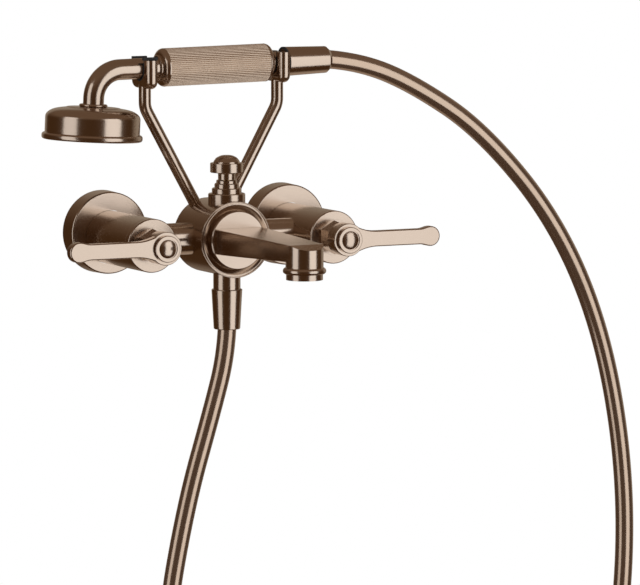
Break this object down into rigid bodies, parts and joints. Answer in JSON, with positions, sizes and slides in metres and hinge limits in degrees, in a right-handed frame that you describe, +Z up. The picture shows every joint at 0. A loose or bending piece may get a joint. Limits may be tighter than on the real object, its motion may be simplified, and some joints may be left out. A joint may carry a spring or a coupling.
{
  "type": "bath shower mixer",
  "caption": "Wall bath shower mixer with lever handles, a diverter, a long spout and a handset resting in a forked cradle on a free hose.",
  "frame": {"origin": "on the wall's face, midway between the two supplies, at the height of the valves", "axes": "+X along the wall, to the right for someone who faces it; -Y out of the wall into the room; +Z up"},
  "size_m": [0.5197, 0.2358, 0.6666],
  "materials": {
    "bronze": "bronze plated, softly polished",
    "grip_bronze": "bronze plated, finely fluted",
    "bronze_shell": "bronze plated plastic, softly polished",
    "spray_bronze": "dark bronze, satin",
    "plain_brass": "bare turned brass",
    "steel": "plain",
    "black_rubber": "soft matt",
    "ceramic": "lapped ceramic, density taken as plastic",
    "pale_plastic": "plain moulded",
    "hose_skin": "smooth metallic skin, fine grain"
  },
  "bodies": {
    "mixer": {"aerator_housing": "bronze", "aerator_insert": "spray_bronze", "check_valve": "pale_plastic", "cup_liners": "black_rubber", "diverter_body": "plain_brass", "diverter_bonnet": "bronze", "diverter_collar": "bronze", "diverter_fixed_disc": "ceramic", "drum_bezel": "bronze", "drum_body": "bronze", "face_plate": "bronze", "fixed_discs": "ceramic", "hose": "hose_skin", "inlet_washers": "black_rubber", "left_barrel": "bronze", "left_cradle_bar": "bronze", "left_cradle_cup": "bronze", "left_cross_arm": "bronze", "left_eccentric_union": "plain_brass", "left_escutcheon": "bronze", "left_headwork": "bronze", "lower_hose_ferrule": "plain_brass", "lower_hose_nut": "bronze", "lower_hose_washer": "black_rubber", "outlet_tail": "bronze", "right_barrel": "bronze", "right_cradle_bar": "bronze", "right_cradle_cup": "bronze", "right_cross_arm": "bronze", "right_eccentric_union": "plain_brass", "right_escutcheon": "bronze", "right_headwork": "bronze", "seat_seals": "pale_plastic", "spout": "bronze", "union_nuts": "plain_brass"},
    "left_lever": {"left_lever": "bronze", "left_lever_screw": "steel", "left_lever_cap": "bronze", "left_spindle": "plain_brass", "left_moving_disc": "ceramic"},
    "right_lever": {"right_lever": "bronze", "right_lever_screw": "steel", "right_lever_cap": "bronze", "right_spindle": "plain_brass", "right_moving_disc": "ceramic"},
    "diverter_knob": {"diverter_knob": "bronze", "diverter_dome": "bronze", "diverter_spindle": "plain_brass", "diverter_moving_disc": "ceramic"},
    "handset": {"handset_tube": "bronze", "grip_sleeve": "grip_bronze", "grip_collars": "bronze", "head_shell": "bronze_shell", "rim_ring": "bronze_shell", "spray_plate": "spray_bronze", "head_gasket": "black_rubber", "buffer_ring": "black_rubber", "handset_hose_nut": "bronze", "handset_hose_washer": "black_rubber", "handset_hose_ferrule": "plain_brass"}
  },
  "joints": [
    {"name": "left_lever_turn", "type": "hinge", "parent": "mixer", "child": "left_lever", "pos_m": [-0.075, -0.1, 0], "axis": [0, 1, 0], "range_deg": [0, 90]},
    {"name": "right_lever_turn", "type": "hinge", "parent": "mixer", "child": "right_lever", "pos_m": [0.075, -0.1, 0], "axis": [0, -1, 0], "range_deg": [0, 90]},
    {"name": "diverter_turn", "type": "hinge", "parent": "mixer", "child": "diverter_knob", "pos_m": [0, -0.0635, 0.05], "axis": [0, 0, 1], "range_deg": [0, 90]},
    {"name": "handset_lift", "type": "slide", "parent": "mixer", "child": "handset", "axis": [0, 0, 1], "range_m": [0, 0.03], "deforming": ["hose"]}
  ]
}
